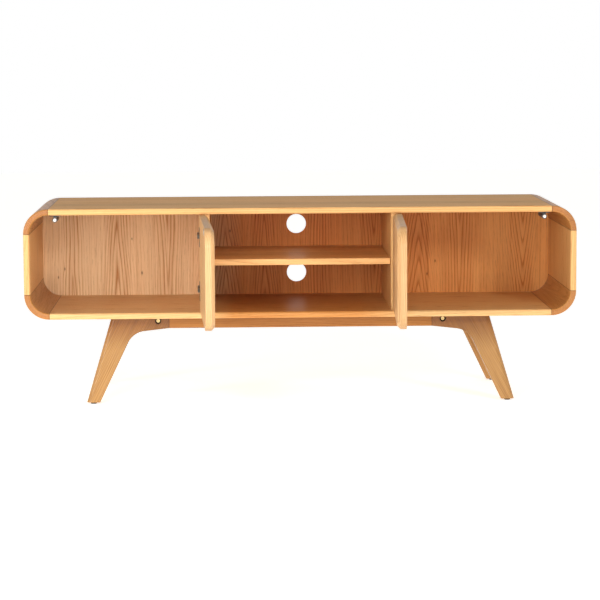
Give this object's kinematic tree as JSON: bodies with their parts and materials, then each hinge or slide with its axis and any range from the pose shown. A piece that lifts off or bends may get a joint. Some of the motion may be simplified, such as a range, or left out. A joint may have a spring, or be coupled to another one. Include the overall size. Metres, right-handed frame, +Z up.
{
  "type": "television stand",
  "caption": "Low oak television stand with rounded cabinet corners, a shelved open centre bay, hinged doors over the outer bays, push latches and splayed boomerang legs.",
  "frame": {"origin": "centre of the footprint of the whole stand with both doors open, on the floor", "axes": "+X to the right along the length, +Y from the front to the back, +Z up"},
  "size_m": [1.6, 1.0018, 0.576],
  "materials": {
    "oak_board": "oiled oak, flat-sawn boards",
    "oak_corner": "oiled oak, solid corner blocks",
    "oak_back": "oiled oak, vertical grain",
    "oak_door": "oiled oak, pale edges",
    "oak_frame": "oiled oak, rounded legs and rails",
    "beech_dowel": "plain fluted beech",
    "glide_plastic": "black, matt",
    "bolt_brass": "zinc and brass plated",
    "washer_black": "blackened",
    "screw_steel": "zinc plated",
    "hinge_nickel": "nickel plated",
    "latch_body": "grey moulded",
    "latch_tip": "white moulded",
    "strike_steel": "zinc plated",
    "pin_steel": "nickel plated"
  },
  "bodies": {
    "cabinet": {"back_panel": "oak_back", "back_panel_screws": "screw_steel", "barrel_nuts": "bolt_brass", "bottom_left_corner": "oak_corner", "bottom_panel": "oak_board", "bottom_right_corner": "oak_corner", "centre_shelf": "oak_board", "corner_dowels": "beech_dowel", "divider_dowels": "beech_dowel", "foot_glides": "glide_plastic", "frame_bolts": "bolt_brass", "frame_screws": "screw_steel", "frame_washers": "washer_black", "front_left_leg": "oak_frame", "front_rail": "oak_frame", "front_right_leg": "oak_frame", "hinge_plate_screws": "screw_steel", "latch_screws": "screw_steel", "left_divider": "oak_board", "left_latch_housing": "latch_body", "left_lower_hinge_arm": "hinge_nickel", "left_lower_hinge_plate": "hinge_nickel", "left_side_panel": "oak_board", "left_stretcher": "oak_frame", "left_upper_hinge_arm": "hinge_nickel", "left_upper_hinge_plate": "hinge_nickel", "rail_dowels": "beech_dowel", "rear_left_leg": "oak_frame", "rear_rail": "oak_frame", "rear_right_leg": "oak_frame", "right_divider": "oak_board", "right_latch_housing": "latch_body", "right_lower_hinge_arm": "hinge_nickel", "right_lower_hinge_plate": "hinge_nickel", "right_side_panel": "oak_board", "right_stretcher": "oak_frame", "right_upper_hinge_arm": "hinge_nickel", "right_upper_hinge_plate": "hinge_nickel", "shelf_pins": "pin_steel", "top_left_corner": "oak_corner", "top_panel": "oak_board", "top_right_corner": "oak_corner"},
    "left_door_leaf": {"left_cup_screws": "screw_steel", "left_door": "oak_door", "left_lower_hinge_cup": "hinge_nickel", "left_strike_plate": "strike_steel", "left_strike_screw": "screw_steel", "left_upper_hinge_cup": "hinge_nickel"},
    "right_door_leaf": {"right_cup_screws": "screw_steel", "right_door": "oak_door", "right_lower_hinge_cup": "hinge_nickel", "right_strike_plate": "strike_steel", "right_strike_screw": "screw_steel", "right_upper_hinge_cup": "hinge_nickel"},
    "left_hinge_links": {"left_lower_hinge_link": "hinge_nickel", "left_upper_hinge_link": "hinge_nickel"},
    "right_hinge_links": {"right_lower_hinge_link": "hinge_nickel", "right_upper_hinge_link": "hinge_nickel"},
    "left_latch_pin": {"left_latch_plunger": "latch_tip"},
    "right_latch_pin": {"right_latch_plunger": "latch_tip"}
  },
  "joints": [
    {"name": "left_door_hinge", "type": "hinge", "parent": "cabinet", "child": "left_door_leaf", "pos_m": [-0.272, 0.00743, 0.416], "axis": [0, 0, -1], "range_deg": [-2, 92.5]},
    {"name": "left_link_slide", "type": "slide", "parent": "cabinet", "child": "left_hinge_links", "axis": [0, 1, 0], "range_m": [-0.001, 0.0345]},
    {"name": "left_latch_press", "type": "slide", "parent": "cabinet", "child": "left_latch_pin", "axis": [0, 1, 0], "range_m": [0, 0.004], "stiffness_N_per_m": 700, "springref_m": -0.002},
    {"name": "right_door_hinge", "type": "hinge", "parent": "cabinet", "child": "right_door_leaf", "pos_m": [0.272, 0.00743, 0.416], "axis": [0, 0, 1], "range_deg": [-2, 92.5]},
    {"name": "right_link_slide", "type": "slide", "parent": "cabinet", "child": "right_hinge_links", "axis": [0, 1, 0], "range_m": [-0.001, 0.0345]},
    {"name": "right_latch_press", "type": "slide", "parent": "cabinet", "child": "right_latch_pin", "axis": [0, 1, 0], "range_m": [0, 0.004], "stiffness_N_per_m": 700, "springref_m": -0.002}
  ],
  "couplings": [
    {"joint": "left_link_slide", "follows": "left_door_hinge", "m_per_rad": 0.021008},
    {"joint": "right_link_slide", "follows": "right_door_hinge", "m_per_rad": 0.021008}
  ]
}
